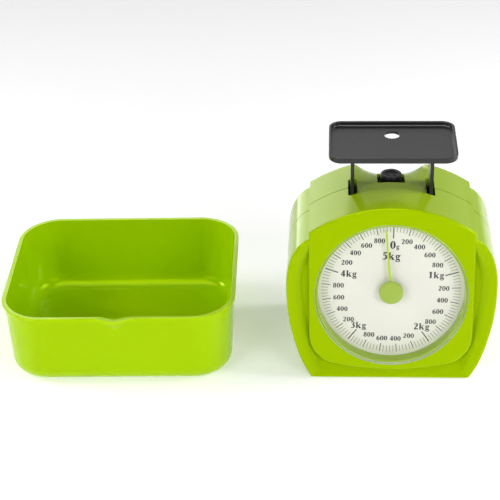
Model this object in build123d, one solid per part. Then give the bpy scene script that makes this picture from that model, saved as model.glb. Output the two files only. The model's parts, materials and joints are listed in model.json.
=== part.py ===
from build123d import *
import math
import os

os.makedirs("parts", exist_ok=True)

# Spring scale with a round dial and a loose weighing bowl.
# Millimetres. X runs across the dial, Y runs from front to back, Z is up.
# The two housing halves meet in the plane Y = 0 and the feet stand on Z = 0.

# ---- housing ----
lean = 7.5                 # the front leans back by this many degrees
rear_lean = 3.0            # the rear wall leans forward by this many degrees
shell_z = 1.2              # lower edge of the housing
wall = 2.4
band_half = 70.5           # raised middle of the housing, half width
band_corner_z = 136.0
crown_z = 158.5
rear_top_y = 44.4          # rear wall at crown height
flank_points = [           # half width of the flanks against height
    (60.0, 133.6), (70.4, 130.5), (76.4, 126.6), (82.0, 119.8), (86.6, 110.0), (89.0, 100.0), (89.9, 90.0),
    (89.9, 80.0), (89.4, 70.0), (88.4, 60.0), (86.8, 50.0), (84.6, 40.0), (81.9, 30.0),
    (78.6, 20.0), (74.2, 10.0), (70.8, 4.0), (66.8, -2.0), (63.0, -7.0),
]
trough_half = 33.0         # hollow across the top of the rear half
cove_depth = 6.0
cove_profile = [           # how deep the front of the flanks lies, against distance from their outline
    (1.2, -1.6), (3.0, 0.35), (7.0, 1.5), (12.0, 4.2), (17.0, cove_depth),
]
rim_round = 1.7
panel_round = 2.2
seam_width = 0.45          # each half leaves this much of a groove at the seam
seam_depth = 1.1

# ---- dial ----
dial_y = -44.5
dial_z = 77.0
face_gap = 13.4            # housing face in front of the dial plane
window_r = 63.2
lens_r = 65.6
dial_r = 67.5
dial_thick = 1.0
lug_r = 69.0
needle_angle = 5.0         # needle stands this many degrees left of upright

# ---- guide, spring and platform ----
travel = 16.5              # the platform sinks this far
slot_x = 33.4              # middle of the holes for the posts
post_x = 33.6
post_thick = 3.0
post_y0 = -13.8
post_y1 = 9.4
crossbar_z = 34.0
tray_z = 201.0
tray_y = -2.5
tray_w = 107.6
tray_d = 69.6
knob_y = 13.0
knob_r = 9.4
knob_top = 160.0
knob_gap = 11.9            # half width of the notch round the zero knob
notch_back = 34.0
bridge_z = 140.0
strap_half = 26.0
strap = 2.0
front_leg_y = -31.0
rear_leg_y = 30.0
link_reach = 36.0
link_pin_y = 25.5
link_zs = (38.0, 112.0)    # fixed pins of the lower and the upper link
pin_r = 1.5

# ---- rack and pinion ----
module = 0.5
pinion_teeth = 10
pitch_r = module * pinion_teeth / 2
pinion_back = 24.0         # pinion starts this far behind the dial plane
pinion_width = 6.5
rack_back = 25.6
rack_thick = 1.6

# ---- spring ----
spring_wire = 0.9          # wire radius
spring_r = 6.0             # radius of the coil's centre line
spring_turns = 19.5
spring_low = 52.0
spring_high = 92.0

# ---- bowl ----
bowl_w = 204.4
bowl_d = 173.6
bowl_h = 69.5
bowl_wall = 1.9
bowl_corner = 36.0
bowl_draft = 2.5
bowl_x = -238.3
bowl_y = 5.3
bowl_turn = 1.5
lip_out = 1.8              # rim stands this far out from the wall
lip_h = 2.2
spout_reach = 4.8
spout_half = 12.4

tan_lean = math.tan(math.radians(lean))
sin_lean = math.sin(math.radians(lean))
cos_lean = math.cos(math.radians(lean))
dial = Plane(origin=(0, dial_y, dial_z), x_dir=(1, 0, 0), z_dir=(0, -cos_lean, sin_lean))
face_y0 = dial_y - face_gap / cos_lean - dial_z * tan_lean    # housing face at table height


def save(name, shape):
    """Write one piece to parts/NAME.step."""
    export_step(shape, f"parts/{name}.step")


def fused(shapes):
    """Join solids that form one piece."""
    first, *rest = shapes
    for shape in rest:
        first = first + shape
    return first


def group(shapes):
    """Keep separate solids together in one node."""
    return Compound(children=[Solid(shape.solids()[0].wrapped) for shape in shapes])


def on_dial(shape):
    """Move a shape built in dial coordinates (Z towards the viewer) into place."""
    return dial.location * shape


def rod_y(radius, x, z, y0, y1):
    """A round bar along Y."""
    return Pos(x, (y0 + y1) / 2, z) * Rot(90, 0, 0) * Cylinder(radius, y1 - y0)


def rod_x(radius, y, z, x0, x1):
    """A round bar along X."""
    return Pos((x0 + x1) / 2, y, z) * Rot(0, 90, 0) * Cylinder(radius, x1 - x0)


def rod_z(radius, x, y, z0, z1):
    """An upright round bar."""
    return Pos(x, y, (z0 + z1) / 2) * Cylinder(radius, z1 - z0)


def slab(x0, x1, y0, y1, z0, z1):
    """A box between two corners."""
    return Pos((x0 + x1) / 2, (y0 + y1) / 2, (z0 + z1) / 2) * Box(x1 - x0, y1 - y0, z1 - z0)


def behind_face(depth):
    """A block that fills everything more than DEPTH behind the leaning front face."""
    y_low = face_y0 + depth / cos_lean
    corners = [(y_low - 20 * tan_lean, -20), (y_low + 260 * tan_lean, 260), (260, 260), (260, -20)]
    side = Polyline(*[(y, z) for y, z in corners], close=True)
    return extrude(Plane.YZ * make_face(side), 150, both=True)


def before_rear(depth):
    """A block that fills everything more than DEPTH in front of the rear wall."""
    slope = math.tan(math.radians(rear_lean))
    y_high = rear_top_y + crown_z * slope - depth
    corners = [(y_high + 20 * slope, -20), (y_high - 260 * slope, 260), (-260, 260), (-260, -20)]
    side = Polyline(*[(y, z) for y, z in corners], close=True)
    return extrude(Plane.YZ * make_face(side), 150, both=True)


def upright_face(wire):
    """A face in the XZ plane from a wire drawn with X across and Y up."""
    return Plane(origin=(0, 0, 0), x_dir=(1, 0, 0), z_dir=(0, -1, 0)) * make_face(wire)


def flank_wire(inset, stretch=1.0):
    """Outline of the flanks, moved inwards by INSET; it runs on below the table."""
    points = []
    for i, (x, z) in enumerate(flank_points):
        before = flank_points[max(i - 1, 0)]
        after = flank_points[min(i + 1, len(flank_points) - 1)]
        dx = after[0] - before[0]
        dz = after[1] - before[1]
        length = math.hypot(dx, dz)
        points.append((x + inset * dz / length, (z - inset * dx / length) * stretch))
    right = Spline(*points)
    left = Spline(*[(-x, z) for x, z in points])
    return right + left + Line(right @ 0, left @ 0) + Line(right @ 1, left @ 1)


def band_wire(inset, low):
    """Outline of the raised middle: straight sides under an arched top."""
    half = band_half - inset
    corner = band_corner_z - inset
    top = crown_z - inset
    arch = ThreePointArc((half, corner), (0, top), (-half, corner))
    return arch + Polyline((-half, corner), (-half, low), (half, low), (half, corner))


def panel_wire(inset):
    """Outline of the raised front panel, with its bowed lower edge and round corners."""
    half = band_half - inset
    corner = band_corner_z - inset
    lift = inset
    arch = ThreePointArc((half, corner), (0, crown_z - inset), (-half, corner))
    lower = ThreePointArc((-46.0, 13.0 + lift), (0, 8.0 + lift), (46.0, 13.0 + lift))
    left_corner = Spline(
        (-half, 48.0), (-half + 3.4, 27.5 + lift), (-58.5 + 0.4 * inset, 17.6 + lift), (-46.0, 13.0 + lift),
        tangents=((0, -1), (1, -0.19)),
    )
    right_corner = Spline(
        (half, 48.0), (half - 3.4, 27.5 + lift), (58.5 - 0.4 * inset, 17.6 + lift), (46.0, 13.0 + lift),
        tangents=((0, -1), (-1, -0.19)),
    )
    sides = Line((-half, corner), (-half, 48.0)) + Line((half, corner), (half, 48.0))
    return arch + sides + left_corner + lower + right_corner


def trough_block(drop):
    """The hollow across the top of the rear half: wider than deep, falling towards the back."""
    sections = []
    for y in (-0.01, 12.0, 24.0, 36.0, 60.0):
        floor = crown_z - 2.0 - 0.0077 * y * y - drop
        edge = crown_z - 4.45 - drop
        half = trough_half
        arc = ThreePointArc((-half, edge), (0, floor), (half, edge))
        lid = Polyline((half, edge), (half, 190), (-half, 190), (-half, edge))
        sections.append(Plane(origin=(0, y, 0), x_dir=(1, 0, 0), z_dir=(0, -1, 0)) * make_face(arc + lid))
    return loft(sections)


def leaning_plane(depth):
    """A plane parallel to the front face and DEPTH behind it, drawn with X across and Y up."""
    origin = (0, face_y0 + depth / cos_lean, 0)
    return Plane(origin=origin, x_dir=(1, 0, 0), z_dir=(0, -cos_lean, sin_lean))


def slot_cut(side):
    """The long hole over one post, open through both halves of the roof."""
    return Pos(side * slot_x, 0.15, 150) * extrude(RectangleRounded(7.6, 28.7, 1.6), 30, both=True)


def seam_post(x, z, y0, y1):
    """A round pillar for one of the screws that hold the two halves together."""
    return rod_y(4.4, x, z, y0, y1)


flank_core = extrude(upright_face(flank_wire(seam_depth)), 5, both=True)
seam_core = flank_core + extrude(upright_face(band_wire(seam_depth, -10)), 5, both=True)
screw_spots = [(-58.0, 26.0), (58.0, 26.0), (-62.0, 114.0), (62.0, 114.0)]
floor_spots = [(-62.0, -42.0), (62.0, -42.0), (-62.0, 30.0), (62.0, 30.0)]


def floor_pillar(x, y):
    """A pillar for a floor screw, tied to the side wall by a rib."""
    side = 1 if x > 0 else -1
    rib = slab(min(x, side * 84), max(x, side * 84), y - 1, y + 1, 6, 24)
    return rod_z(4.2, x, y, 5.2, 26) + rib


# ---------------------------------------------------------------- front housing
barrel = extrude(upright_face(flank_wire(0)), 90) & behind_face(0.4)
rim_edges = [e for e in barrel.edges().filter_by(GeomType.BSPLINE) if e.center().Y < -20]
barrel = fillet(rim_edges, rim_round)
cove_sections = []
for inset, depth in cove_profile:
    cove_sections.append(leaning_plane(depth) * make_face(flank_wire(inset, 1 / cos_lean)))
cove = loft(cove_sections)


def beside_face(depth, z):
    """A point of the side view, DEPTH behind the leaning front face at height Z."""
    return (face_y0 + depth / cos_lean + z * tan_lean, z)


sill_points = [beside_face(-0.4, shell_z - 1), beside_face(2.0, 6.2), beside_face(cove_depth + 1, 17.0)]
sill_curve = ThreePointArc(*sill_points)
sill_corners = [(face_y0 + 40, 17.0), (face_y0 + 40, -20), (face_y0 - 12, -20)]
sill_back = Polyline(sill_curve @ 1, *sill_corners, sill_curve @ 0)
sill = extrude(Plane.YZ * make_face(sill_curve + sill_back), 120, both=True)
panel = extrude(upright_face(panel_wire(0)), 90) & behind_face(0)
panel_rim = [e for e in panel.edges() if e.center().Y < min(-30, face_y0 + e.center().Z * tan_lean + 1)]
panel = fillet(panel_rim, panel_round)
front_outer = barrel - (cove - sill) + panel
below_shell = slab(-150, 150, -150, 150, -30, shell_z)
front_outer = front_outer - below_shell

flank_room = extrude(upright_face(flank_wire(wall)), 90) & behind_face(cove_depth + wall + 0.4)
panel_room = extrude(upright_face(panel_wire(wall)), 90) & behind_face(wall)
inner = flank_room + panel_room
tube = on_dial(Pos(0, 0, face_gap / 2 + 0.1) * Cylinder(lens_r + 1.6, face_gap - 0.2))
tube = tube & extrude(upright_face(panel_wire(0.2)), 90)
front = front_outer - inner + (tube & behind_face(0.2))
window = on_dial(Pos(0, 0, face_gap / 2) * Cylinder(window_r, face_gap + 8))
lens_seat = on_dial(Pos(0, 0, face_gap) * Cylinder(lens_r + 0.25, 2 * 2.4))
front = front - window - lens_seat
for angle in (45, 135, 225, 315):
    x = lug_r * math.cos(math.radians(angle))
    y = lug_r * math.sin(math.radians(angle))
    boss = on_dial(Pos(x, y, (face_gap - 1.0) / 2) * Cylinder(3.2, face_gap - 1.4))
    hole = on_dial(Pos(x, y, 4.0) * Cylinder(1.1, 8.0))
    front = front + boss - hole
solid_inside = barrel + panel
for x, z in screw_spots:
    post = seam_post(x, z, -60, 0) & solid_inside & behind_face(1.2)
    front = front + post - rod_y(1.5, x, z, -16, 1)
for x, y in floor_spots[:2]:
    front = front + (floor_pillar(x, y) & barrel) - rod_z(1.5, x, y, 4, 18)
for side in (-1, 1):
    front = front - slot_cut(side)
front = front - (slab(-150, 150, -seam_width, 1, -30, 200) - seam_core)
save("front_housing", front)

# ---------------------------------------------------------------- rear housing
back_flip = Rot(0, 0, 180)
rear_barrel = back_flip * extrude(upright_face(flank_wire(0)), 90)
rear_band = back_flip * extrude(upright_face(band_wire(0, 0)), 90)
rear_barrel = rear_barrel & before_rear(0)
rear_band = rear_band & before_rear(0)
barrel_rim = [e for e in rear_barrel.edges().filter_by(GeomType.BSPLINE) if e.center().Y > 20]
rear_barrel = fillet(barrel_rim, 5.0)
band_rim = [e for e in rear_band.edges() if e.center().Y > 40 and e.center().Z > 50]
rear_band = fillet(band_rim, 5.0)
rear_outer = rear_barrel + rear_band - below_shell
rear_outer = rear_outer - trough_block(0)
rear_room = back_flip * extrude(upright_face(flank_wire(wall)), 90)
rear_room = rear_room + back_flip * extrude(upright_face(band_wire(wall, -10)), 90)
rear_room = (rear_room & before_rear(wall)) - trough_block(wall)
rear = rear_outer - rear_room
for x, z in screw_spots:
    post = seam_post(x, z, 0, 60) & rear_outer
    rear = rear + post - rod_y(1.9, x, z, -1, 12) - rod_y(3.6, x, z, 10, 70)
for x, y in floor_spots[2:]:
    rear = rear + (floor_pillar(x, y) & rear_outer) - rod_z(1.5, x, y, 4, 18)
under_roof = rear_outer - slab(-150, 150, -1, 200, -30, crown_z - 12.5)
for side in (-1, 1):
    x = side * slot_x
    guide = slab(x - 5.4, x + 5.4, 10.4, 16.2, 140, 165) & under_roof
    rear = rear + guide - slot_cut(side)
notch_outer = Pos(0, notch_back / 2 - 4, 100) * RectangleRounded(2 * knob_gap + 3.2, notch_back + 11.2, 4.6)
notch_inner = Pos(0, notch_back / 2 - 4, 100) * RectangleRounded(2 * knob_gap, notch_back + 8, 3.0)
behind_seam = slab(-30, 30, seam_width, 60, 100, 200)
rear = rear + (extrude(notch_outer, 100) & under_roof & behind_seam)
rear = rear - (extrude(notch_inner, 100) & behind_seam)
rear = rear - (slab(-150, 150, -1, seam_width, -30, 200) - seam_core)
save("rear_housing", rear)

# ---------------------------------------------------------------- floor, feet and screws
floor_face = RectangleRounded(132.4, 106.0, 6)
floor = Pos(0, -4.9, 2.4) * extrude(floor_face, 2.2)
for x, y in floor_spots:
    floor = floor - rod_z(1.8, x, y, 0, 10) - rod_z(3.4, x, y, 0, 3.4)
foot_spots = [(-50.0, -44.0), (50.0, -44.0), (-50.0, 34.0), (50.0, 34.0), (0.0, 0.0)]
for x, y in foot_spots:
    floor = floor - rod_z(7.2, x, y, 0, 3.4)
flange_spots = [(-16.0, -22.0), (16.0, -22.0), (-16.0, 21.0), (16.0, 21.0)]
for x, y in flange_spots:
    floor = floor + rod_z(4.0, x, y, 4.4, 8.0) - rod_z(1.3, x, y, 4.0, 9.0)
save("base_cover", floor)
save("rubber_feet", group([
    fillet(rod_z(7.0, x, y, 0, 3.4).edges().sort_by(Axis.Z)[:1], 0.6) for x, y in foot_spots
]))


def screw(shank_r, head_r, head_h, length):
    """A pan-head screw pointing down -Z with a cross recess; the head starts at Z = 0."""
    head = Cylinder(head_r, head_h, align=(Align.CENTER, Align.CENTER, Align.MIN))
    head = fillet(head.edges().sort_by(Axis.Z)[-1:], head_h * 0.45)
    shank = Cylinder(shank_r, length, align=(Align.CENTER, Align.CENTER, Align.MAX))
    shank = chamfer(shank.edges().sort_by(Axis.Z)[:1], shank_r * 0.45)
    cross = Box(head_r * 1.1, head_r * 0.28, head_h) + Box(head_r * 0.28, head_r * 1.1, head_h)
    return head + shank - Pos(0, 0, head_h) * cross


save("floor_screws", group([
    Pos(x, y, 3.4) * Rot(180, 0, 0) * screw(1.45, 3.0, 1.9, 12) for x, y in floor_spots
]))
save("seam_screws", group([
    Pos(x, 10.0, z) * Rot(-90, 0, 0) * screw(1.45, 3.2, 2.4, 22) for x, z in screw_spots
]))
save("flange_screws", group([Pos(x, y, 10.0) * screw(1.25, 2.6, 1.8, 5.2) for x, y in flange_spots]))

# ---------------------------------------------------------------- dial and lens
lens = on_dial(Pos(0, 0, face_gap - 2.2) * extrude(Circle(lens_r), 1.6))
lens_rim = on_dial(Pos(0, 0, face_gap - 0.6) * extrude(Circle(lens_r) - Circle(lens_r - 2.0), 1.1))
lens = lens + lens_rim
lens = fillet(lens.edges().filter_by(GeomType.CIRCLE).sort_by(Axis.Y)[:1], 0.4)
save("dial_lens", lens)

plate = Circle(dial_r)
lug_points = []
for angle in (45, 135, 225, 315):
    lug_points.append((lug_r * math.cos(math.radians(angle)), lug_r * math.sin(math.radians(angle))))
for x, y in lug_points:
    plate = plate + Pos(x, y) * Circle(4.2)
for x, y in lug_points:
    plate = plate - Pos(x, y) * Circle(1.5)
plate = plate - Circle(2.4)
save("dial_plate", on_dial(Pos(0, 0, -dial_thick) * extrude(plate, dial_thick)))
save("dial_screws", group([
    on_dial(Pos(x, y, -dial_thick) * Rot(180, 0, 0) * screw(1.05, 2.4, 1.6, 6.0)) for x, y in lug_points
]))

# ---------------------------------------------------------------- chassis
leg_front = slab(-strap_half, strap_half, front_leg_y, front_leg_y + strap, 8, bridge_z + strap)
leg_rear = slab(-strap_half, strap_half, rear_leg_y, rear_leg_y + strap, 8, bridge_z + strap)
bridge = slab(-strap_half, strap_half, front_leg_y, rear_leg_y + strap, bridge_z, bridge_z + strap)
flange_front = slab(-strap_half, strap_half, front_leg_y, -17, 8, 10)
flange_rear = slab(-strap_half, strap_half, 16, rear_leg_y + strap, 8, 10)
chassis = fused([leg_front, leg_rear, bridge, flange_front, flange_rear])
bends = [e for e in chassis.edges().filter_by(Axis.X) if abs(e.center().Z - (bridge_z + strap)) < 0.1]
chassis = fillet(bends, 2.4)
for z in link_zs:
    for side in (-1, 1):
        x_in = side * (strap_half - strap)
        x_out = side * strap_half
        ear = slab(min(x_in, x_out), max(x_in, x_out), link_pin_y - 4.5, rear_leg_y + 1, z - 5, z + 5)
        nose = [e for e in ear.edges().filter_by(Axis.X) if e.center().Y < link_pin_y]
        chassis = chassis + fillet(nose, 3.5)
    chassis = chassis - rod_x(pin_r, link_pin_y, z, -40, 40)
chassis = chassis - rod_z(2.7, 0, knob_y, bridge_z - 1, bridge_z + 3)
for z0, z1 in ((20, 62), (90, 132)):
    window_cut = slab(-16, 16, -60, 60, z0, z1)
    chassis = chassis - (window_cut & slab(-20, 20, 20, 60, 0, 200))
for z0, z1 in ((20, 60), (96, 132)):
    chassis = chassis - slab(-16, 16, -60, -20, z0, z1)
for x, y in flange_spots:
    chassis = chassis - rod_z(1.5, x, y, 5, 12)
front_bush_back = (front_leg_y + strap / 2 - dial_y) / cos_lean
bush_hole = on_dial(Pos(0, 0, -front_bush_back) * Cylinder(2.5, 8))
bracket_spots = [(-14.5, 68.0), (-14.5, 80.0)]
chassis = chassis - bush_hole
for x, z in bracket_spots:
    chassis = chassis - rod_y(1.0, x, z, -32, -28)
save("chassis", chassis)
front_bush = Pos(0, 0, -front_bush_back) * (Cylinder(2.5, 3.4) + Pos(0, 0, 2.2) * Cylinder(3.6, 1.0))
save("front_bush", on_dial(front_bush - Pos(0, 0, -front_bush_back) * Cylinder(1.05, 20)))
save("frame_pins", group([
    rod_x(pin_r, link_pin_y, z, -strap_half - 1.5, strap_half + 1.5) for z in link_zs
]))

# bracket that carries the inner end of the pointer shaft
bracket_back = 33.5
plate_r = Pos(-1.5, -2, -bracket_back) * Box(17, 16, 1.2)
bracket = on_dial(plate_r)
arm = slab(-10.0, -8.8, front_leg_y + strap, -11.0, 65, 80.5)
arm_cap = on_dial(Pos(0, 0, -bracket_back + 20) * Box(60, 60, 41.2))
foot = slab(-19.5, -8.8, front_leg_y + strap, front_leg_y + strap + 1.2, 64, 84)
bracket = bracket + (arm & arm_cap) + foot
bracket = bracket - on_dial(Pos(0, 0, -bracket_back) * Cylinder(2.2, 8))
for x, z in bracket_spots:
    bracket = bracket - rod_y(1.2, x, z, -32, -26)
save("shaft_bracket", bracket)
rear_bush = Cylinder(2.2, 2.4) + Pos(0, 0, -1.1) * Cylinder(3.2, 1.0) - Cylinder(1.05, 10)
save("rear_bush", on_dial(Pos(0, 0, -bracket_back) * rear_bush))
save("bracket_screws", group([
    Pos(x, front_leg_y + strap + 1.2, z) * Rot(-90, 0, 0) * screw(0.95, 2.0, 1.2, 3.6)
    for x, z in bracket_spots
]))
washer = rod_z(7.0, 0, knob_y, bridge_z + strap, bridge_z + strap + 0.9)
save("knob_washer", washer - rod_z(2.8, 0, knob_y, 100, 160))

# ---------------------------------------------------------------- platform and carrier
post_x0 = post_x - post_thick / 2
post_x1 = post_x + post_thick / 2
tray_low = tray_z - 5.8
posts = [
    slab(min(s * post_x0, s * post_x1), max(s * post_x0, s * post_x1), post_y0, post_y1, crossbar_z, tray_low)
    for s in (-1, 1)
]
crossbar = slab(-post_x1, post_x1, post_y0, post_y1, crossbar_z, crossbar_z + post_thick)
tongue = slab(-11, 11, post_y1 - 1, knob_y + 6, crossbar_z, crossbar_z + post_thick)
tongue = fillet([e for e in tongue.edges().filter_by(Axis.Z) if e.center().Y > knob_y], 4)
carrier = fused(posts + [crossbar, tongue])
low_edges = [e for e in carrier.edges().filter_by(Axis.Y) if e.center().Z < 35]
carrier_bends = [e for e in low_edges if abs(e.center().X) > 30]
carrier = fillet(carrier_bends, 3.0)
ear_back = rack_back + rack_thick + 0.05
rivet_up = -34.0
carrier_pin_zs = [z + travel / 2 for z in link_zs]
carrier_pin_y = link_pin_y - link_reach
for z in carrier_pin_zs:
    carrier = carrier - rod_x(pin_r, carrier_pin_y, z, -50, 50)
carrier = carrier - rod_z(1.6, -4.5, knob_y, 20, 50) - rod_z(1.6, 4.5, knob_y, 20, 50)
shelf = slab(-1.5, 10.5, -27, post_y0 + 1, crossbar_z, crossbar_z + 2)
ear_block = on_dial(Pos(5.0, -38.0, -ear_back - 0.8) * Box(9, 14, 1.6))
carrier = carrier + shelf + (ear_block - slab(-50, 50, -60, 60, 0, crossbar_z + 0.2))
rivet_at = Pos(5.66, rivet_up, -rack_back)
carrier = carrier - on_dial(rivet_at * Cylinder(1.2, 20))
save("carrier", carrier)
save("carrier_pins", group([
    rod_x(pin_r, carrier_pin_y, z, -post_x1 - 1.6, post_x1 + 1.6) for z in carrier_pin_zs
]))
clips = []
for z in carrier_pin_zs:
    for side in (-1, 1):
        x0, x1 = sorted((side * (post_x1 + 0.02), side * (post_x1 + 0.8)))
        clips.append(rod_x(3.2, carrier_pin_y, z, x0, x1) - rod_x(pin_r, carrier_pin_y, z, -50, 50))
save("pin_clips", group(clips))

tray_face = RectangleRounded(tray_w, tray_d, 11)
tray = extrude(tray_face, 5.8)
tray = fillet(tray.edges().sort_by(Axis.Z)[:8], 1.8)
basin = Pos(0, 0, 2.2) * extrude(RectangleRounded(tray_w - 4.4, tray_d - 4.4, 8.8), 8)
basin = fillet(basin.edges().sort_by(Axis.Z)[:8], 1.2)
tray = tray - basin - Pos(0, 12.4 - tray_y, 0) * Cylinder(6.8, 30)
top_rim = [e for e in tray.edges() if e.center().Z > 5.7]
tray = fillet(top_rim, 0.5)
tray = Pos(0, tray_y, tray_low) * tray
for side in (-1, 1):
    x = side * post_x
    collar = slab(x - 2.9, x + 2.9, post_y0 - 1.4, post_y1 + 1.4, tray_low - 3.4, tray_low + 0.6)
    tray = tray + collar - slab(x - 1.52, x + 1.52, post_y0 - 0.02, post_y1 + 0.02, tray_low - 9, tray_low)
save("platform_tray", tray)

# ---------------------------------------------------------------- rack and pinion


def rack_profile(length_low, length_high):
    """Side view of the rack with its teeth facing -X; the pitch line is X = 0."""
    pitch = math.pi * module
    low_tooth = -int(length_low / pitch)
    high_tooth = int(length_high / pitch)
    half_root = 0.33
    half_tip = 0.13
    points = [(4.4, -length_low), (0.55, -length_low)]
    for i in range(low_tooth, high_tooth + 1):
        middle = i * pitch
        points.append((0.55, middle - half_root - 0.14))
        points.append((-0.42, middle - half_tip))
        points.append((-0.42, middle + half_tip))
        points.append((0.55, middle + half_root + 0.14))
    points.append((0.55, length_high))
    points.append((4.4, length_high))
    return Polyline(*points, close=True)


rack = extrude(make_face(rack_profile(5.0, 23.0)), rack_thick)
stem = Pos(2.95, -18.0, rack_thick / 2) * Box(2.9, 32, rack_thick)
eye = Pos(5.6 - pitch_r, rivet_up, rack_thick / 2) * Cylinder(3.2, rack_thick)
rack = rack + stem + eye - Pos(5.6 - pitch_r, rivet_up, 0) * Cylinder(1.2, 10)
rack = Pos(pitch_r + 0.06, 0, -rack_back - rack_thick) * rack
save("rack", on_dial(rack))
rivet = Pos(5.66, rivet_up, -rack_back - 1.6) * Cylinder(1.15, 3.6)
rivet = rivet + Pos(5.66, rivet_up, -rack_back + 0.47) * Cylinder(2.2, 0.9)
save("rack_rivet", on_dial(rivet))
leaf = Pos(9.95, -26.5, -rack_back - 0.8) * Box(0.4, 21, 1.4)
leaf_foot = Pos(9.95, -34.5, -rack_back - 1.7) * Box(0.4, 5, 3.2)
leaf_tip = Pos(8.59, -16.2, -rack_back - 0.8) * Box(3.12, 0.4, 1.4)
save("rack_spring", on_dial(fused([leaf, leaf_foot, leaf_tip])))

gap_half = math.pi / pinion_teeth
tooth_points = []
for i in range(pinion_teeth):
    middle = (2 * i + 1) * gap_half
    for radius, half in ((1.86, 0.30), (2.35, 0.17), (2.5, 0.135), (2.9, 0.055)):
        tooth_points.append((radius, middle - half))
    for radius, half in ((2.9, 0.055), (2.5, 0.135), (2.35, 0.17), (1.86, 0.30)):
        tooth_points.append((radius, middle + half))
outline = Polyline(*[(r * math.cos(a), r * math.sin(a)) for r, a in tooth_points], close=True)
pinion = extrude(make_face(outline), pinion_width) - Pos(0, 0, pinion_width / 2) * Cylinder(1.0, 20)
save("pinion", on_dial(Pos(0, 0, -pinion_back - pinion_width) * pinion))
shaft = Pos(0, 0, (3.0 - bracket_back - 2.4) / 2) * Cylinder(1.0, 3.0 + bracket_back + 2.4)
save("pointer_shaft", on_dial(shaft))
turn = Rot(0, 0, needle_angle)
blade = Polyline((-1.15, 6), (-0.75, 57.7), (0.75, 57.7), (1.15, 6), close=True)
needle = extrude(make_face(blade), 0.9)
disc = extrude(Circle(9.2), 0.9) + Pos(0, 0, -2.4) * extrude(Circle(2.6), 2.4)
needle = turn * (needle + disc) - Pos(0, 0, -6) * extrude(Circle(1.0), 6.2)
save("needle", on_dial(Pos(0, 0, 4.4) * needle))
cap = extrude(Circle(10.3), 2.6)
cap = fillet(cap.edges().sort_by(Axis.Z)[-1:], 1.0)
save("needle_cap", on_dial(Pos(0, 0, 5.3) * cap))

# ---------------------------------------------------------------- links
link_angle = math.degrees(math.atan(travel / 2 / link_reach))


def link(z):
    """One arm of the guide, drawn level and then tilted up to the carrier pin."""
    cheeks = []
    reach = link_reach + 0.47
    for side in (-1, 1):
        x = side * 20.0
        cheek = slab(x - 1, x + 1, -reach - 4.6, 3.2, -4, 4)
        corners = [e for e in cheek.edges().filter_by(Axis.X)]
        cheek = fillet(corners, 3.0)
        slot = Pos(x, -reach, 0) * Rot(0, 90, 0) * extrude(
            SlotCenterToCenter(0.94, 3.6, rotation=90), 6, both=True
        )
        cheeks.append(cheek - slot)
    tie = slab(-20, 20, -31, -27, -1, 1)
    sleeve = rod_x(2.8, 0, 0, -21, 21)
    arm = fused(cheeks + [tie, sleeve]) - rod_x(pin_r + 0.05, 0, 0, -30, 30)
    return Pos(0, link_pin_y, z) * Rot(-link_angle, 0, 0) * arm


save("lower_link", link(link_zs[0]))
save("upper_link", link(link_zs[1]))

# ---------------------------------------------------------------- spring and zero adjuster


def wire_ring(radius, wire, y, z, turned):
    """A closed ring of round wire standing upright, facing front or facing sideways."""
    turn_ring = Rot(0, 90, 0) if turned else Rot(90, 0, 0)
    return Pos(0, y, z) * turn_ring * Torus(radius, wire)


spring_length = spring_high - spring_low
coil_path = Helix(pitch=spring_length / spring_turns, height=spring_length, radius=spring_r)
coil_start = Plane(origin=coil_path @ 0, z_dir=coil_path % 0)
coil = sweep(coil_start * Circle(spring_wire), path=coil_path, is_frenet=True)
low_ring_z = crossbar_z + 2.0
high_ring_z = spring_high + 6.5
low_hook = (0, 0, low_ring_z + 4.5 - spring_low)
high_hook = (0, 0, high_ring_z - 4.0 - spring_low)
low_lead = Spline(coil_path @ 0, low_hook, tangents=(-1 * (coil_path % 0), (0, 0, -1)))
high_lead = Spline(coil_path @ 1, high_hook, tangents=(coil_path % 1, (0, 0, 1)))
low_tail = sweep(Plane(origin=low_lead @ 0, z_dir=low_lead % 0) * Circle(spring_wire), path=low_lead)
high_tail = sweep(Plane(origin=high_lead @ 0, z_dir=high_lead % 0) * Circle(spring_wire), path=high_lead)
main_spring = Pos(0, knob_y, spring_low) * (coil + low_tail + high_tail)
main_spring = main_spring + wire_ring(4.5, spring_wire, knob_y, low_ring_z, False)
main_spring = main_spring + wire_ring(4.0, spring_wire, knob_y, high_ring_z, False)
save("main_spring", main_spring)

eye_z = high_ring_z + 5.6
zero_screw = rod_z(2.5, 0, knob_y, eye_z + 4.2, knob_top - 3.2)
zero_screw = chamfer(zero_screw.edges().sort_by(Axis.Z)[-1:], 0.6)
zero_screw = zero_screw + wire_ring(4.0, 1.2, knob_y, eye_z, True)
save("zero_screw", zero_screw)

knob_low = bridge_z + strap + 0.9 + 0.3
knob = rod_z(knob_r, 0, knob_y, knob_low, knob_top)
knob = fillet(knob.edges().sort_by(Axis.Z)[-1:], 1.3)
knob = knob - rod_z(5.4, 0, knob_y, knob_top - 0.9, knob_top + 1)
knob = knob - rod_z(5.2, 0, knob_y, knob_low - 1, knob_low + 9.6)
knob = knob - rod_z(2.9, 0, knob_y, 100, knob_top - 2.2)
for start in (200, 20):
    arc = CenterArc((0, 0), 3.4, start, 130)
    band = sweep(Plane(origin=arc @ 0, z_dir=arc % 0) * Rectangle(0.9, 0.9), path=arc)
    knob = knob + Pos(0, knob_y, knob_top - 0.9) * band
    point = extrude(make_face(Polyline((-1.1, 0), (1.1, 0), (0, 1.8), close=True)), 0.45)
    knob = knob + Pos(0, knob_y, knob_top - 0.9) * Rot(0, 0, start + 130) * Pos(3.4, 0, 0) * point
save("zero_knob", knob)
nut = rod_z(5.2, 0, knob_y, knob_low + 0.4, knob_low + 9.6)
save("knob_nut", nut - rod_z(2.56, 0, knob_y, 100, 200))

# ---------------------------------------------------------------- weighing bowl


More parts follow.
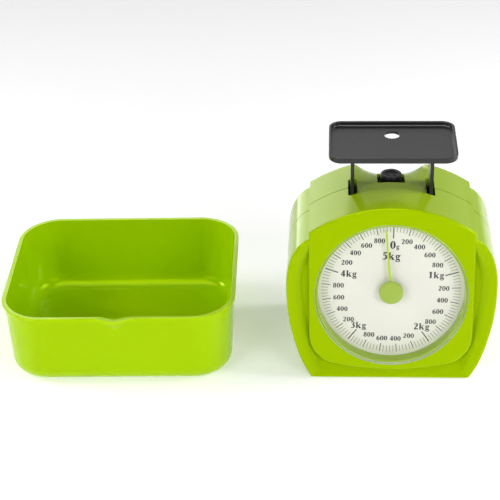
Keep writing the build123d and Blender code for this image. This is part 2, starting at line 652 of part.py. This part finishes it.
def bowl_solid(shrink, low, high):
    """A tapered tray shape with round corners; SHRINK moves its walls inwards."""
    pull = (bowl_h - low) * math.tan(math.radians(bowl_draft)) + shrink + lip_out
    face = RectangleRounded(bowl_w - 2 * pull, bowl_d - 2 * pull, bowl_corner + lip_out - pull)
    return Pos(0, 0, low) * extrude(face, high - low, taper=-bowl_draft)


def spout(sections):
    """A pointed wedge on the front wall through (height, front line, reach, half width) sections."""
    faces = []
    for z, y, reach, half in sections:
        corners = [(-half, y + 3), (-half, y), (0, y - reach), (half, y), (half, y + 3)]
        faces.append(Pos(0, 0, z) * make_face(Polyline(*corners, close=True)))
    return loft(faces, ruled=True)


lip_front = -bowl_d / 2
outer_front = lip_front + lip_out
inner_front = outer_front + bowl_wall
spout_low = bowl_h - 12
draft_in = 12 * math.tan(math.radians(bowl_draft))
bowl = bowl_solid(0, 0, bowl_h)
bowl = fillet(bowl.edges().sort_by(Axis.Z)[:8], 13.0)
bowl = bowl + spout([
    (spout_low, outer_front + draft_in, 0.3, 2.0),
    (bowl_h - 0.4, outer_front, spout_reach, spout_half + 1.5),
])
lip = extrude(RectangleRounded(bowl_w, bowl_d, bowl_corner + lip_out), lip_h)
lip_spout = (lip_front, spout_reach + 1.6, spout_half + 4.0)
lip = lip + spout([(0, *lip_spout), (lip_h, *lip_spout)])
lip = fillet([e for e in lip.edges() if e.center().Z > lip_h - 0.1], 0.7)
bowl = bowl + Pos(0, 0, bowl_h - lip_h) * lip
room = bowl_solid(bowl_wall, bowl_wall, bowl_h + 5)
room = fillet(room.edges().sort_by(Axis.Z)[:8], 11.4)
bowl = bowl - room - spout([
    (spout_low + 1, inner_front + draft_in, 0.2, 1.5),
    (bowl_h + 1, inner_front, spout_reach + 0.4, spout_half + 1.0),
])
bowl = Pos(bowl_x, bowl_y, 0) * Rot(0, 0, bowl_turn) * bowl
save("weighing_bowl", bowl)
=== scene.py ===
import json
import math

import bmesh
import bpy
from mathutils import Matrix, Vector


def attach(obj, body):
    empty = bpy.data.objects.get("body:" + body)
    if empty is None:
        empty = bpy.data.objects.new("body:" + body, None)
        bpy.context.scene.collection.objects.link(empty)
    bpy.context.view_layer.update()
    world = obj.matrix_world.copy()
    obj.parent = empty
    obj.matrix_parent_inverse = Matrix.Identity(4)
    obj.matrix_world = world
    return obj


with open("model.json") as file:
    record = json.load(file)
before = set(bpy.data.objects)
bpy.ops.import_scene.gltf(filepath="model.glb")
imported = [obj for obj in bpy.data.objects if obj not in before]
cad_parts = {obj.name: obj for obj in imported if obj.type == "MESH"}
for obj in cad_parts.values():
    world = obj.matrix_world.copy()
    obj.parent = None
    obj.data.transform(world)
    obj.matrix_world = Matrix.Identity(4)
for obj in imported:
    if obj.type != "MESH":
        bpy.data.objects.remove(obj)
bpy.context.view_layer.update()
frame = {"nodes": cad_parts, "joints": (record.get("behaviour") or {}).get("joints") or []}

MM = 0.001
nodes = frame["nodes"]
joints = {joint["name"]: joint for joint in frame["joints"]}

# ---------------------------------------------------------------- dial plane, from the pointer's own axis
spin = joints["pointer_spin"]
dial_out = -Vector(spin["axis"]).normalized()          # out of the dial, towards the reader
dial_across = Vector((1, 0, 0))
dial_up = dial_out.cross(dial_across)
dial_centre = Vector(spin["pos_m"])

# ---------------------------------------------------------------- measures of the dial's print
PRINT_TURN = math.radians(1.6)     # the print sits this much clockwise of upright
INK = 0.03 * MM                    # ink stands this proud of the plate
KEY = 0.01 * MM                    # and reaches this far into it

DIVISIONS = 125                    # graduations in a full turn
GRAMS = 40                         # from one graduation to the next
PER_LABEL = 5                      # divisions from one label to the next
PER_KILO = 25
RING = 60 * MM                     # outer radius of the graduations
# How often each kind of graduation comes, its length and its half width in millimetres. The last that fits wins.
GRADUATIONS = ((1, 6.0, 0.17), (PER_LABEL, 7.7, 0.33), (PER_KILO, 11.8, 0.48))

LABEL_HEIGHT = 4.5 * MM            # height of the figures in the labels between the kilos
KILO_HEIGHT = 6.1 * MM
ZERO_HEIGHT = 7.0 * MM             # height of the zero, and of the 5kg under it
GRAM_SHARE = 0.62                  # height of the zero's g beside the zero
BOLD = 1.2                         # strokes of the print are this much heavier than drawn
LETTER_GAP = 0.06                  # between letters, beside their height
# Middles of the labels, in millimetres on the dial: X runs right and Y up.
LABEL_REACH = 47.1                 # of those straight above and below the hub, from the hub
LABEL_PULL = 1.7                   # and how much nearer those to its left and right are
KILO_PLACES = ((38.3, 15.2), (28.3, -34.2), (-26.6, -34.7), (-36.6, 14.2))
ZERO_PLACE = (1.6, 42.1)
FULL_PLACE = (-0.9, 31.8)

# Bold roman letters of height 1. "wide" is a letter's width. Bars are straight strokes and curves are smooth ones,
# both given as (x, y, half width) points. Loops are ovals, given as the arguments of oval().
LETTERS = {
    "0": dict(wide=0.66, loops=[(0.33, 0.5, 0.215, 0.462, 0.105, 0.038)]),
    "1": dict(wide=0.66, bars=[
        [(0.34, 0.03, 0.105), (0.34, 0.985, 0.105)], [(0.12, 0.025, 0.025), (0.56, 0.025, 0.025)],
        [(0.11, 0.85, 0.03), (0.33, 0.94, 0.05)]]),
    "2": dict(wide=0.66, curves=[
        [(0.08, 0.72, 0.045), (0.16, 0.89, 0.05), (0.31, 0.95, 0.045), (0.45, 0.86, 0.08), (0.47, 0.68, 0.105),
         (0.36, 0.47, 0.08), (0.20, 0.25, 0.05), (0.07, 0.10, 0.035)]],
        bars=[[(0.05, 0.085, 0.085), (0.55, 0.085, 0.085)], [(0.54, 0.05, 0.03), (0.60, 0.26, 0.02)]]),
    "3": dict(wide=0.66, curves=[
        [(0.10, 0.80, 0.04), (0.19, 0.92, 0.045), (0.31, 0.95, 0.04), (0.44, 0.84, 0.08), (0.43, 0.66, 0.085),
         (0.30, 0.55, 0.04), (0.20, 0.53, 0.03)],
        [(0.22, 0.55, 0.03), (0.40, 0.51, 0.06), (0.51, 0.32, 0.105), (0.43, 0.12, 0.07), (0.25, 0.04, 0.04),
         (0.09, 0.09, 0.065)]]),
    "4": dict(wide=0.66, bars=[
        [(0.43, 0.0, 0.10), (0.43, 0.985, 0.10)], [(0.03, 0.29, 0.075), (0.62, 0.29, 0.075)],
        [(0.05, 0.30, 0.04), (0.40, 0.96, 0.045)]]),
    "5": dict(wide=0.66, curves=[
        [(0.13, 0.58, 0.03), (0.27, 0.62, 0.05), (0.46, 0.53, 0.08), (0.52, 0.33, 0.105), (0.42, 0.13, 0.08),
         (0.25, 0.04, 0.045), (0.09, 0.08, 0.065)]],
        bars=[[(0.18, 0.90, 0.08), (0.56, 0.90, 0.08)], [(0.14, 0.56, 0.025), (0.20, 0.96, 0.03)]]),
    "6": dict(wide=0.66, loops=[(0.34, 0.30, 0.20, 0.265, 0.10, 0.038)], curves=[
        [(0.56, 0.96, 0.025), (0.40, 0.90, 0.045), (0.23, 0.74, 0.08), (0.14, 0.53, 0.10), (0.135, 0.30, 0.10)]]),
    "8": dict(wide=0.66, loops=[
        (0.33, 0.745, 0.165, 0.215, 0.09, 0.036), (0.33, 0.275, 0.20, 0.24, 0.10, 0.036)]),
    "k": dict(wide=0.80, bars=[
        [(0.19, 0.02, 0.095), (0.19, 0.985, 0.095)], [(0.04, 0.025, 0.025), (0.38, 0.025, 0.025)],
        [(0.04, 0.96, 0.025), (0.20, 0.96, 0.025)], [(0.26, 0.30, 0.035), (0.58, 0.62, 0.035)],
        [(0.44, 0.635, 0.025), (0.74, 0.635, 0.025)], [(0.37, 0.44, 0.09), (0.66, 0.03, 0.09)],
        [(0.46, 0.025, 0.025), (0.80, 0.025, 0.025)]]),
    "g": dict(wide=0.70, loops=[
        (0.32, 0.47, 0.155, 0.17, 0.085, 0.03), (0.33, -0.13, 0.235, 0.12, 0.05, 0.04)],
        curves=[[(0.22, 0.30, 0.03), (0.14, 0.20, 0.045), (0.24, 0.10, 0.07), (0.46, 0.07, 0.08),
                 (0.57, -0.05, 0.05)]],
        bars=[[(0.44, 0.60, 0.03), (0.66, 0.62, 0.045)]]),
}


# ---------------------------------------------------------------- print helpers
def on_dial(x, y, lift):
    """Place of a point of the print; X runs right and Y up on the dial."""
    c, s = math.cos(PRINT_TURN), math.sin(PRINT_TURN)
    right, up = x * c + y * s, y * c - x * s
    return dial_centre + dial_across * right + dial_up * up + dial_out * lift


class Ink:
    """Collects flat strokes of print, each a thin closed ribbon lying on the dial."""

    # The corners of a ribbon's section: to which side of the stroke, and how high.
    SECTION = ((1, INK), (-1, INK), (-1, -KEY), (1, -KEY))

    def __init__(self):
        self.verts = []
        self.faces = []

    def stroke(self, line, closed=False):
        """LINE holds (x, y, half width) along the middle of the stroke, in metres on the dial."""
        first = len(self.verts)
        count = len(line)
        for i, (x, y, half) in enumerate(line):
            before = line[(i - 1) % count] if closed else line[max(i - 1, 0)]
            after = line[(i + 1) % count] if closed else line[min(i + 1, count - 1)]
            along = Vector((after[0] - before[0], after[1] - before[1])).normalized()
            side = Vector((-along.y, along.x)) * half
            for sign, lift in self.SECTION:
                self.verts.append(on_dial(x + sign * side.x, y + sign * side.y, lift))
        for i in range(count if closed else count - 1):
            a = first + 4 * i
            b = first + 4 * ((i + 1) % count)
            for k in range(4):
                m = (k + 1) % 4
                self.faces.append((a + k, a + m, b + m, b + k))
        if not closed:
            last = first + 4 * (count - 1)
            self.faces.append((first + 3, first + 2, first + 1, first))
            self.faces.append((last, last + 1, last + 2, last + 3))

    def write(self, text, place, size, first_size=None):
        """Set TEXT centred on PLACE, in millimetres. SIZE is its height, and FIRST_SIZE its first letter's own."""
        sizes = [first_size or size] + [size] * (len(text) - 1)
        letters = [LETTERS[letter] for letter in text]
        length = sum(letter["wide"] * s + LETTER_GAP * s for letter, s in zip(letters, sizes))
        pen = place[0] * MM - (length - LETTER_GAP * sizes[-1]) / 2
        base = place[1] * MM - max(sizes) / 2
        for letter, s in zip(letters, sizes):
            lines = [(smooth_line(points), False) for points in letter.get("curves", [])]
            lines += [(points, False) for points in letter.get("bars", [])]
            lines += [(oval(*measures), True) for measures in letter.get("loops", [])]
            for line, closed in lines:
                self.stroke([(pen + u * s, base + v * s, half * s * BOLD) for u, v, half in line], closed)
            pen += (letter["wide"] + LETTER_GAP) * s

    def lay(self, name, material):
        """Make one piece of all the strokes. It rides on the housing, as the dial plate does."""
        mesh = bpy.data.meshes.new(name)
        mesh.from_pydata(self.verts, [], self.faces)
        mesh.validate()
        shape = bmesh.new()
        shape.from_mesh(mesh)
        bmesh.ops.recalc_face_normals(shape, faces=shape.faces)
        shape.to_mesh(mesh)
        shape.free()
        mesh.materials.append(material)
        piece = bpy.data.objects.new(name, mesh)
        bpy.context.scene.collection.objects.link(piece)
        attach(piece, "housing")


def smooth_line(points, steps=6):
    """Catmull-Rom curve through (x, y, half width) points."""
    line = []
    for i in range(len(points) - 1):
        p0 = points[max(i - 1, 0)]
        p1, p2 = points[i], points[i + 1]
        p3 = points[min(i + 2, len(points) - 1)]
        for k in range(steps):
            t = k / steps
            line.append(tuple(
                0.5 * (2 * b + (c - a) * t
                       + (2 * a - 5 * b + 4 * c - d) * t * t
                       + (3 * b - a - 3 * c + d) * t ** 3)
                for a, b, c, d in zip(p0, p1, p2, p3)
            ))
    line.append(points[-1])
    return line


def oval(cx, cy, rx, ry, thick, thin, steps=28, swell=1.6):
    """An oval stroke, THICK at its sides and THIN at top and bottom (half widths).

    The larger SWELL is, the shorter its thick parts are.
    """
    line = []
    for i in range(steps):
        turn = 2 * math.pi * i / steps
        half = thin + (thick - thin) * abs(math.cos(turn)) ** swell
        line.append((cx + rx * math.cos(turn), cy + ry * math.sin(turn), half))
    return line


# ---------------------------------------------------------------- material helpers
class Nodes:
    """Makes the nodes of a material or of the world, and links them as it goes."""

    def __init__(self, tree):
        self.tree = tree

    def add(self, kind, inputs=None, **settings):
        """A new node. INPUTS gives a socket a plain value, or the output that feeds it."""
        node = self.tree.nodes.new("ShaderNode" + kind)
        for setting, value in settings.items():
            setattr(node, setting, value)
        for socket, value in (inputs or {}).items():
            self.feed(node.inputs[socket], value)
        return node

    def feed(self, socket, value):
        """Give an input socket a plain value, or the output that feeds it."""
        if isinstance(value, bpy.types.NodeSocket):
            self.tree.links.new(value, socket)
        else:
            socket.default_value = value

    def ramp(self, value, low, high):
        """Colours that run from LOW to HIGH, each a (position, colour), as VALUE does."""
        node = self.add("ValToRGB", {"Fac": value})
        for element, (position, colour) in zip(node.color_ramp.elements, (low, high)):
            element.position = position
            element.color = colour
        return node.outputs["Color"]

    def spread(self, value, low, high):
        """VALUE, which runs from 0 to 1, taken to between LOW and HIGH."""
        return self.add("MapRange", {"Value": value, "To Min": low, "To Max": high}).outputs["Result"]

    def relief(self, height, depth):
        """The normals of a surface whose HEIGHT, from 0 to 1, stands for up to DEPTH millimetres."""
        return self.add("Bump", {"Height": height, "Distance": depth * MM}).outputs["Normal"]


def new_material(name):
    """A material with no nodes yet, and the maker of its nodes."""
    material = bpy.data.materials.new(name)
    material.use_nodes = True
    material.node_tree.nodes.clear()
    return material, Nodes(material.node_tree)


def scaled(colour, factor):
    """A colour made lighter or darker."""
    return tuple(min(1.0, c * factor) for c in colour[:3]) + (1.0,)


def grey(value):
    """A neutral colour."""
    return (value, value, value, 1.0)


def surface(name, colour, rough, rough_spread=0.05, mottle=0.05, cloud=18, grain=900,
            relief=0.02, stretch=(1, 1, 1), **sockets):
    """A material whose colour drifts softly, with gloss that varies and a fine relief.

    CLOUD and GRAIN are features per metre, RELIEF is the depth of the grain in millimetres,
    and SOCKETS are plain values of the shader.
    """
    material, made = new_material(name)
    place = made.add("TexCoord").outputs["Object"]
    place = made.add("Mapping", {"Vector": place, "Scale": stretch}).outputs["Vector"]
    clouds = made.add("TexNoise", {"Vector": place, "Scale": cloud, "Detail": 4}).outputs["Fac"]
    grains = made.add("TexNoise", {"Vector": place, "Scale": grain, "Detail": 3}).outputs["Fac"]
    shader = made.add("BsdfPrincipled", {
        "Base Color": made.ramp(clouds, (0.3, scaled(colour, 1 - mottle)), (0.7, scaled(colour, 1 + mottle))),
        "Roughness": made.spread(grains, max(0.0, rough - rough_spread), min(1.0, rough + rough_spread)),
        "Normal": made.relief(grains, relief),
    })
    for socket, value in sockets.items():
        made.feed(shader.inputs[socket.replace("_", " ")], value)
    made.add("OutputMaterial", {"Surface": shader.outputs["BSDF"]})
    return material


def clear_sheet(name, tint, ior, rough, flat_side, milk_and_highlight=(0.9, 0.92, 0.88, 1)):
    """Thin clear plastic: light passes straight on, and the outer faces mirror by the angle they are seen at.

    Its edges, which don't face along FLAT_SIDE, are mixed towards a milky white. This is partly the scatter of
    real plastic edges and partly a painted highlight ring around the lens.
    """
    material, made = new_material(name)
    place = made.add("TexCoord").outputs["Object"]
    clouds = made.add("TexNoise", {"Vector": place, "Scale": 25}).outputs["Fac"]
    face = made.add("NewGeometry").outputs

    tone = made.ramp(clouds, (0, scaled(tint, 0.995)), (1, scaled(tint, 1.005)))
    through = made.add("BsdfTransparent", {"Color": tone})
    mirror = made.add("BsdfAnisotropic", {
        "Roughness": made.spread(clouds, rough * 0.6, rough * 1.4),
        "Normal": made.relief(clouds, 0.001),
    })
    outside = made.add("Math", {0: 1.0, 1: face["Backfacing"]}, operation="SUBTRACT")
    fresnel = made.add("Fresnel", {"IOR": ior})
    share = made.add("Math", {0: outside.outputs["Value"], 1: fresnel.outputs["Fac"]}, operation="MULTIPLY")
    clear = made.add("MixShader", {
        "Fac": share.outputs["Value"], 1: through.outputs["BSDF"], 2: mirror.outputs["BSDF"]})

    # Painted highlight: edges that turn away from the dial's face get a milky white. This is partly real edge
    # scatter and partly a painted bright ring around the lens.
    facing = made.add("VectorMath", {0: face["Normal"], 1: flat_side}, operation="DOT_PRODUCT")
    either_way = made.add("Math", {0: facing.outputs["Value"]}, operation="ABSOLUTE")
    edge_highlight_share = made.add("MapRange", {
        "Value": either_way.outputs["Value"], "From Min": 0.97, "From Max": 0.75, "To Max": 0.55})
    milky_highlight = made.add("BsdfDiffuse", {"Color": milk_and_highlight})
    edged = made.add("MixShader", {
        "Fac": edge_highlight_share.outputs["Result"], 1: clear.outputs["Shader"], 2: milky_highlight.outputs["BSDF"]})
    made.add("OutputMaterial", {"Surface": edged.outputs["Shader"]})
    return material


def dress(material, *names):
    """Give CAD nodes their material."""
    for name in names:
        slots = nodes[name].data.materials
        slots.clear()
        slots.append(material)


# ---------------------------------------------------------------- materials
GREEN = (0.305, 0.46, 0.0005)
BOWL_GREEN = (0.365, 0.56, 0.0005)
GREEN_SHINE = (0.75, 1.0, 0.0, 1.0)

housing_green = surface("housing_green", GREEN, 0.13, 0.03, 0.02, cloud=12, grain=700, relief=0.004,
                        IOR=1.45, Specular_Tint=GREEN_SHINE)
bowl_green = surface("bowl_green", BOWL_GREEN, 0.08, 0.02, 0.02, cloud=10, grain=500, relief=0.004,
                     IOR=1.45, Specular_Tint=GREEN_SHINE, Subsurface_Weight=0.6, Subsurface_Scale=0.004,
                     Subsurface_Radius=(1.0, 1.2, 0.2))
needle_green = surface("needle_green", (0.45, 0.62, 0.01), 0.4, 0.06, 0.03, grain=2500, relief=0.004)
cap_green = surface("cap_green", (0.33, 0.47, 0.025), 0.45, 0.06, 0.05, grain=2500, relief=0.006)
black_tray = surface("black_tray", (0.009, 0.009, 0.010), 0.28, 0.05, 0.15, cloud=30, grain=2600, relief=0.008,
                     IOR=1.48)
black_knob = surface("black_knob", (0.008, 0.008, 0.009), 0.3, 0.05, 0.15, cloud=60, grain=2600, relief=0.008,
                     IOR=1.33)
black_paint = surface("black_paint", (0.010, 0.010, 0.010), 0.32, 0.06, 0.2, cloud=40, grain=1800, relief=0.01)
black_base = surface("black_base", (0.02, 0.02, 0.021), 0.5, 0.08, 0.15, cloud=30, grain=1500, relief=0.03)
soft_rubber = surface("soft_rubber", (0.025, 0.025, 0.026), 0.8, 0.1, 0.2, cloud=80, grain=2200, relief=0.04)
dial_white = surface("dial_white", (0.82, 0.795, 0.735), 0.42, 0.05, 0.012, cloud=9, grain=2400, relief=0.004)
ink_black = surface("ink_black", (0.008, 0.008, 0.009), 0.55, 0.05, 0.2, cloud=90, grain=3000, relief=0.002)
zinc = surface("zinc", (0.60, 0.60, 0.58), 0.32, 0.10, 0.12, cloud=45, grain=700, relief=0.01,
               stretch=(1, 6, 1), Metallic=1.0)
bright_steel = surface("bright_steel", (0.66, 0.66, 0.66), 0.24, 0.08, 0.08, cloud=90, grain=1400, relief=0.006,
                       Metallic=1.0)
spring_wire = surface("spring_wire", (0.30, 0.30, 0.31), 0.34, 0.10, 0.2, cloud=120, grain=1600, relief=0.008,
                      Metallic=1.0)
brass = surface("brass", (0.76, 0.56, 0.24), 0.28, 0.10, 0.12, cloud=90, grain=1300, relief=0.006, Metallic=1.0)
clear_lens = clear_sheet("clear_lens", (0.985, 0.99, 0.985), 1.45, 0.02, dial_out)

dress(housing_green, "front_housing", "rear_housing")
dress(bowl_green, "weighing_bowl")
dress(needle_green, "needle")
dress(cap_green, "needle_cap")
dress(black_tray, "platform_tray")
dress(black_knob, "zero_knob")
dress(black_paint, "carrier")
dress(black_base, "base_cover")
dress(soft_rubber, "rubber_feet")
dress(dial_white, "dial_plate")
dress(clear_lens, "dial_lens")
dress(zinc, "chassis", "shaft_bracket", "lower_link", "upper_link", "knob_washer")
dress(bright_steel, "floor_screws", "seam_screws", "flange_screws", "dial_screws", "bracket_screws", "frame_pins",
      "carrier_pins", "pin_clips", "pointer_shaft", "rack_rivet", "zero_screw")
dress(spring_wire, "main_spring", "rack_spring")
dress(brass, "front_bush", "rear_bush", "rack", "pinion", "knob_nut")

# ---------------------------------------------------------------- dial print
graduations, figures = Ink(), Ink()
for i in range(DIVISIONS):
    angle = 2 * math.pi * i / DIVISIONS
    sin, cos = math.sin(angle), math.cos(angle)
    length, half = [(length * MM, half * MM) for every, length, half in GRADUATIONS if i % every == 0][-1]
    inner = RING - length
    graduations.stroke([(RING * sin, RING * cos, half), (inner * sin, inner * cos, half)])
    if i % PER_LABEL == 0 and i % PER_KILO != 0:
        reach = LABEL_REACH - LABEL_PULL * sin ** 2
        figures.write(str(i % PER_KILO * GRAMS), (reach * sin, reach * cos), LABEL_HEIGHT)
for kilo, place in enumerate(KILO_PLACES, start=1):
    figures.write(f"{kilo}kg", place, KILO_HEIGHT)
figures.write("0g", ZERO_PLACE, GRAM_SHARE * ZERO_HEIGHT, first_size=ZERO_HEIGHT)
figures.write("5kg", FULL_PLACE, ZERO_HEIGHT)
graduations.lay("dial_graduations", ink_black)
figures.lay("dial_figures", ink_black)

# ---------------------------------------------------------------- camera
CAMERA_AT = Vector((-46.95, -1171.53, 795.43)) * MM
# How far the camera is turned right, tipped down, and rolled about its line of sight.
YAW, PITCH, ROLL = math.radians(-3.74), math.radians(31.01), math.radians(-1.73)
FILM_WIDTH, FOCAL_LENGTH = 36, 111.22     # millimetres

camera_data = bpy.data.cameras.new("camera")
camera_data.sensor_width = FILM_WIDTH
camera_data.lens = FOCAL_LENGTH
camera_data.clip_start = 0.01
camera_data.clip_end = 100
camera = bpy.data.objects.new("camera", camera_data)
bpy.context.scene.collection.objects.link(camera)
camera.matrix_world = (
    Matrix.Translation(CAMERA_AT)
    @ Matrix.Rotation(-YAW, 4, "Z")
    @ Matrix.Rotation(math.pi / 2 - PITCH, 4, "X")
    @ Matrix.Rotation(ROLL, 4, "Z")
)
bpy.context.scene.camera = camera

# ---------------------------------------------------------------- studio
FLOOR_REACH = 6.0                  # of the floor to each side
FLOOR_DROP = 0.1 * MM              # of the floor under the object, so that the two don't share a plane
SUBJECT = (-0.1, 0, 0.08)          # the middle of the scale and its bowl together

bpy.context.scene.view_settings.view_transform = "Standard"

floor_mesh = bpy.data.meshes.new("studio_floor")
floor_mesh.from_pydata(
    [(x * FLOOR_REACH, y * FLOOR_REACH, -FLOOR_DROP) for x, y in ((-1, -1), (1, -1), (1, 1), (-1, 1))],
    [], [(0, 1, 2, 3)])
floor_mesh.materials.append(surface("floor_paper", (0.90, 0.90, 0.90), 0.9, 0.03, 0.01, cloud=2, grain=60,
                                    relief=0.01, Specular_IOR_Level=0.0, Emission_Color=grey(1.0),
                                    Emission_Strength=0.3))
floor = bpy.data.objects.new("studio_floor", floor_mesh)
bpy.context.scene.collection.objects.link(floor)

# The room is light up to a height of 30 degrees and dark above 38, which keeps the black parts black.
world = bpy.data.worlds.new("studio")
bpy.context.scene.world = world
world.use_nodes = True
room = Nodes(world.node_tree)
direction = room.add("SeparateXYZ", {"Vector": room.add("TexCoord").outputs["Generated"]})
room.feed(world.node_tree.nodes["Background"].inputs["Color"],
          room.ramp(direction.outputs["Z"], (0.50, grey(0.6)), (0.62, grey(0.14))))


def softbox(name, aim, azimuth, height, far, wide, high, glow, mirrored_only=False):
    """A rectangular soft light FAR from AIM, seen from it at AZIMUTH (0 = front, + = right) and HEIGHT in degrees.

    GLOW is how bright its face is beside a white of 1. With MIRRORED_ONLY it shows in gloss and lights nothing.
    """
    turn, rise = math.radians(azimuth), math.radians(height)
    toward = Vector((math.sin(turn) * math.cos(rise), -math.cos(turn) * math.cos(rise), math.sin(rise)))
    data = bpy.data.lights.new(name, "AREA")
    data.shape = "RECTANGLE"
    data.size = wide
    data.size_y = high
    data.energy = glow * math.pi * wide * high
    light = bpy.data.objects.new(name, data)
    bpy.context.scene.collection.objects.link(light)
    light.location = Vector(aim) + toward * far
    light.rotation_mode = "QUATERNION"
    light.rotation_quaternion = toward.to_track_quat("Z", "Y")
    light.visible_camera = False
    light.visible_diffuse = not mirrored_only


softbox("front_right", SUBJECT, azimuth=38, height=26, far=1.3, wide=0.6, high=0.45, glow=5.6)
softbox("front_left", SUBJECT, azimuth=-38, height=26, far=1.3, wide=0.6, high=0.45, glow=5.2)
softbox("side_right", (-0.2, 0, 0.08), azimuth=92, height=32, far=1.35, wide=0.45, high=0.36, glow=16.0)
softbox("side_left", (-0.15, 0, 0.08), azimuth=-92, height=32, far=1.35, wide=0.45, high=0.36, glow=14.0)
softbox("back_left", (-0.05, 0, 0.13), azimuth=-152, height=5, far=0.55, wide=0.46, high=0.46, glow=2.2,
        mirrored_only=True)
softbox("back_right", (0, 0, 0.15), azimuth=152, height=16, far=1.6, wide=0.7, high=0.5, glow=0.3,
        mirrored_only=True)
softbox("back_high", (0, 0, 0.2), azimuth=180, height=35, far=1.6, wide=1.6, high=0.35, glow=0.9,
        mirrored_only=True)
softbox("overhead", (0.0, 0, 0.1), azimuth=-60, height=76, far=1.3, wide=1.5, high=1.0, glow=6.0,
        mirrored_only=True)
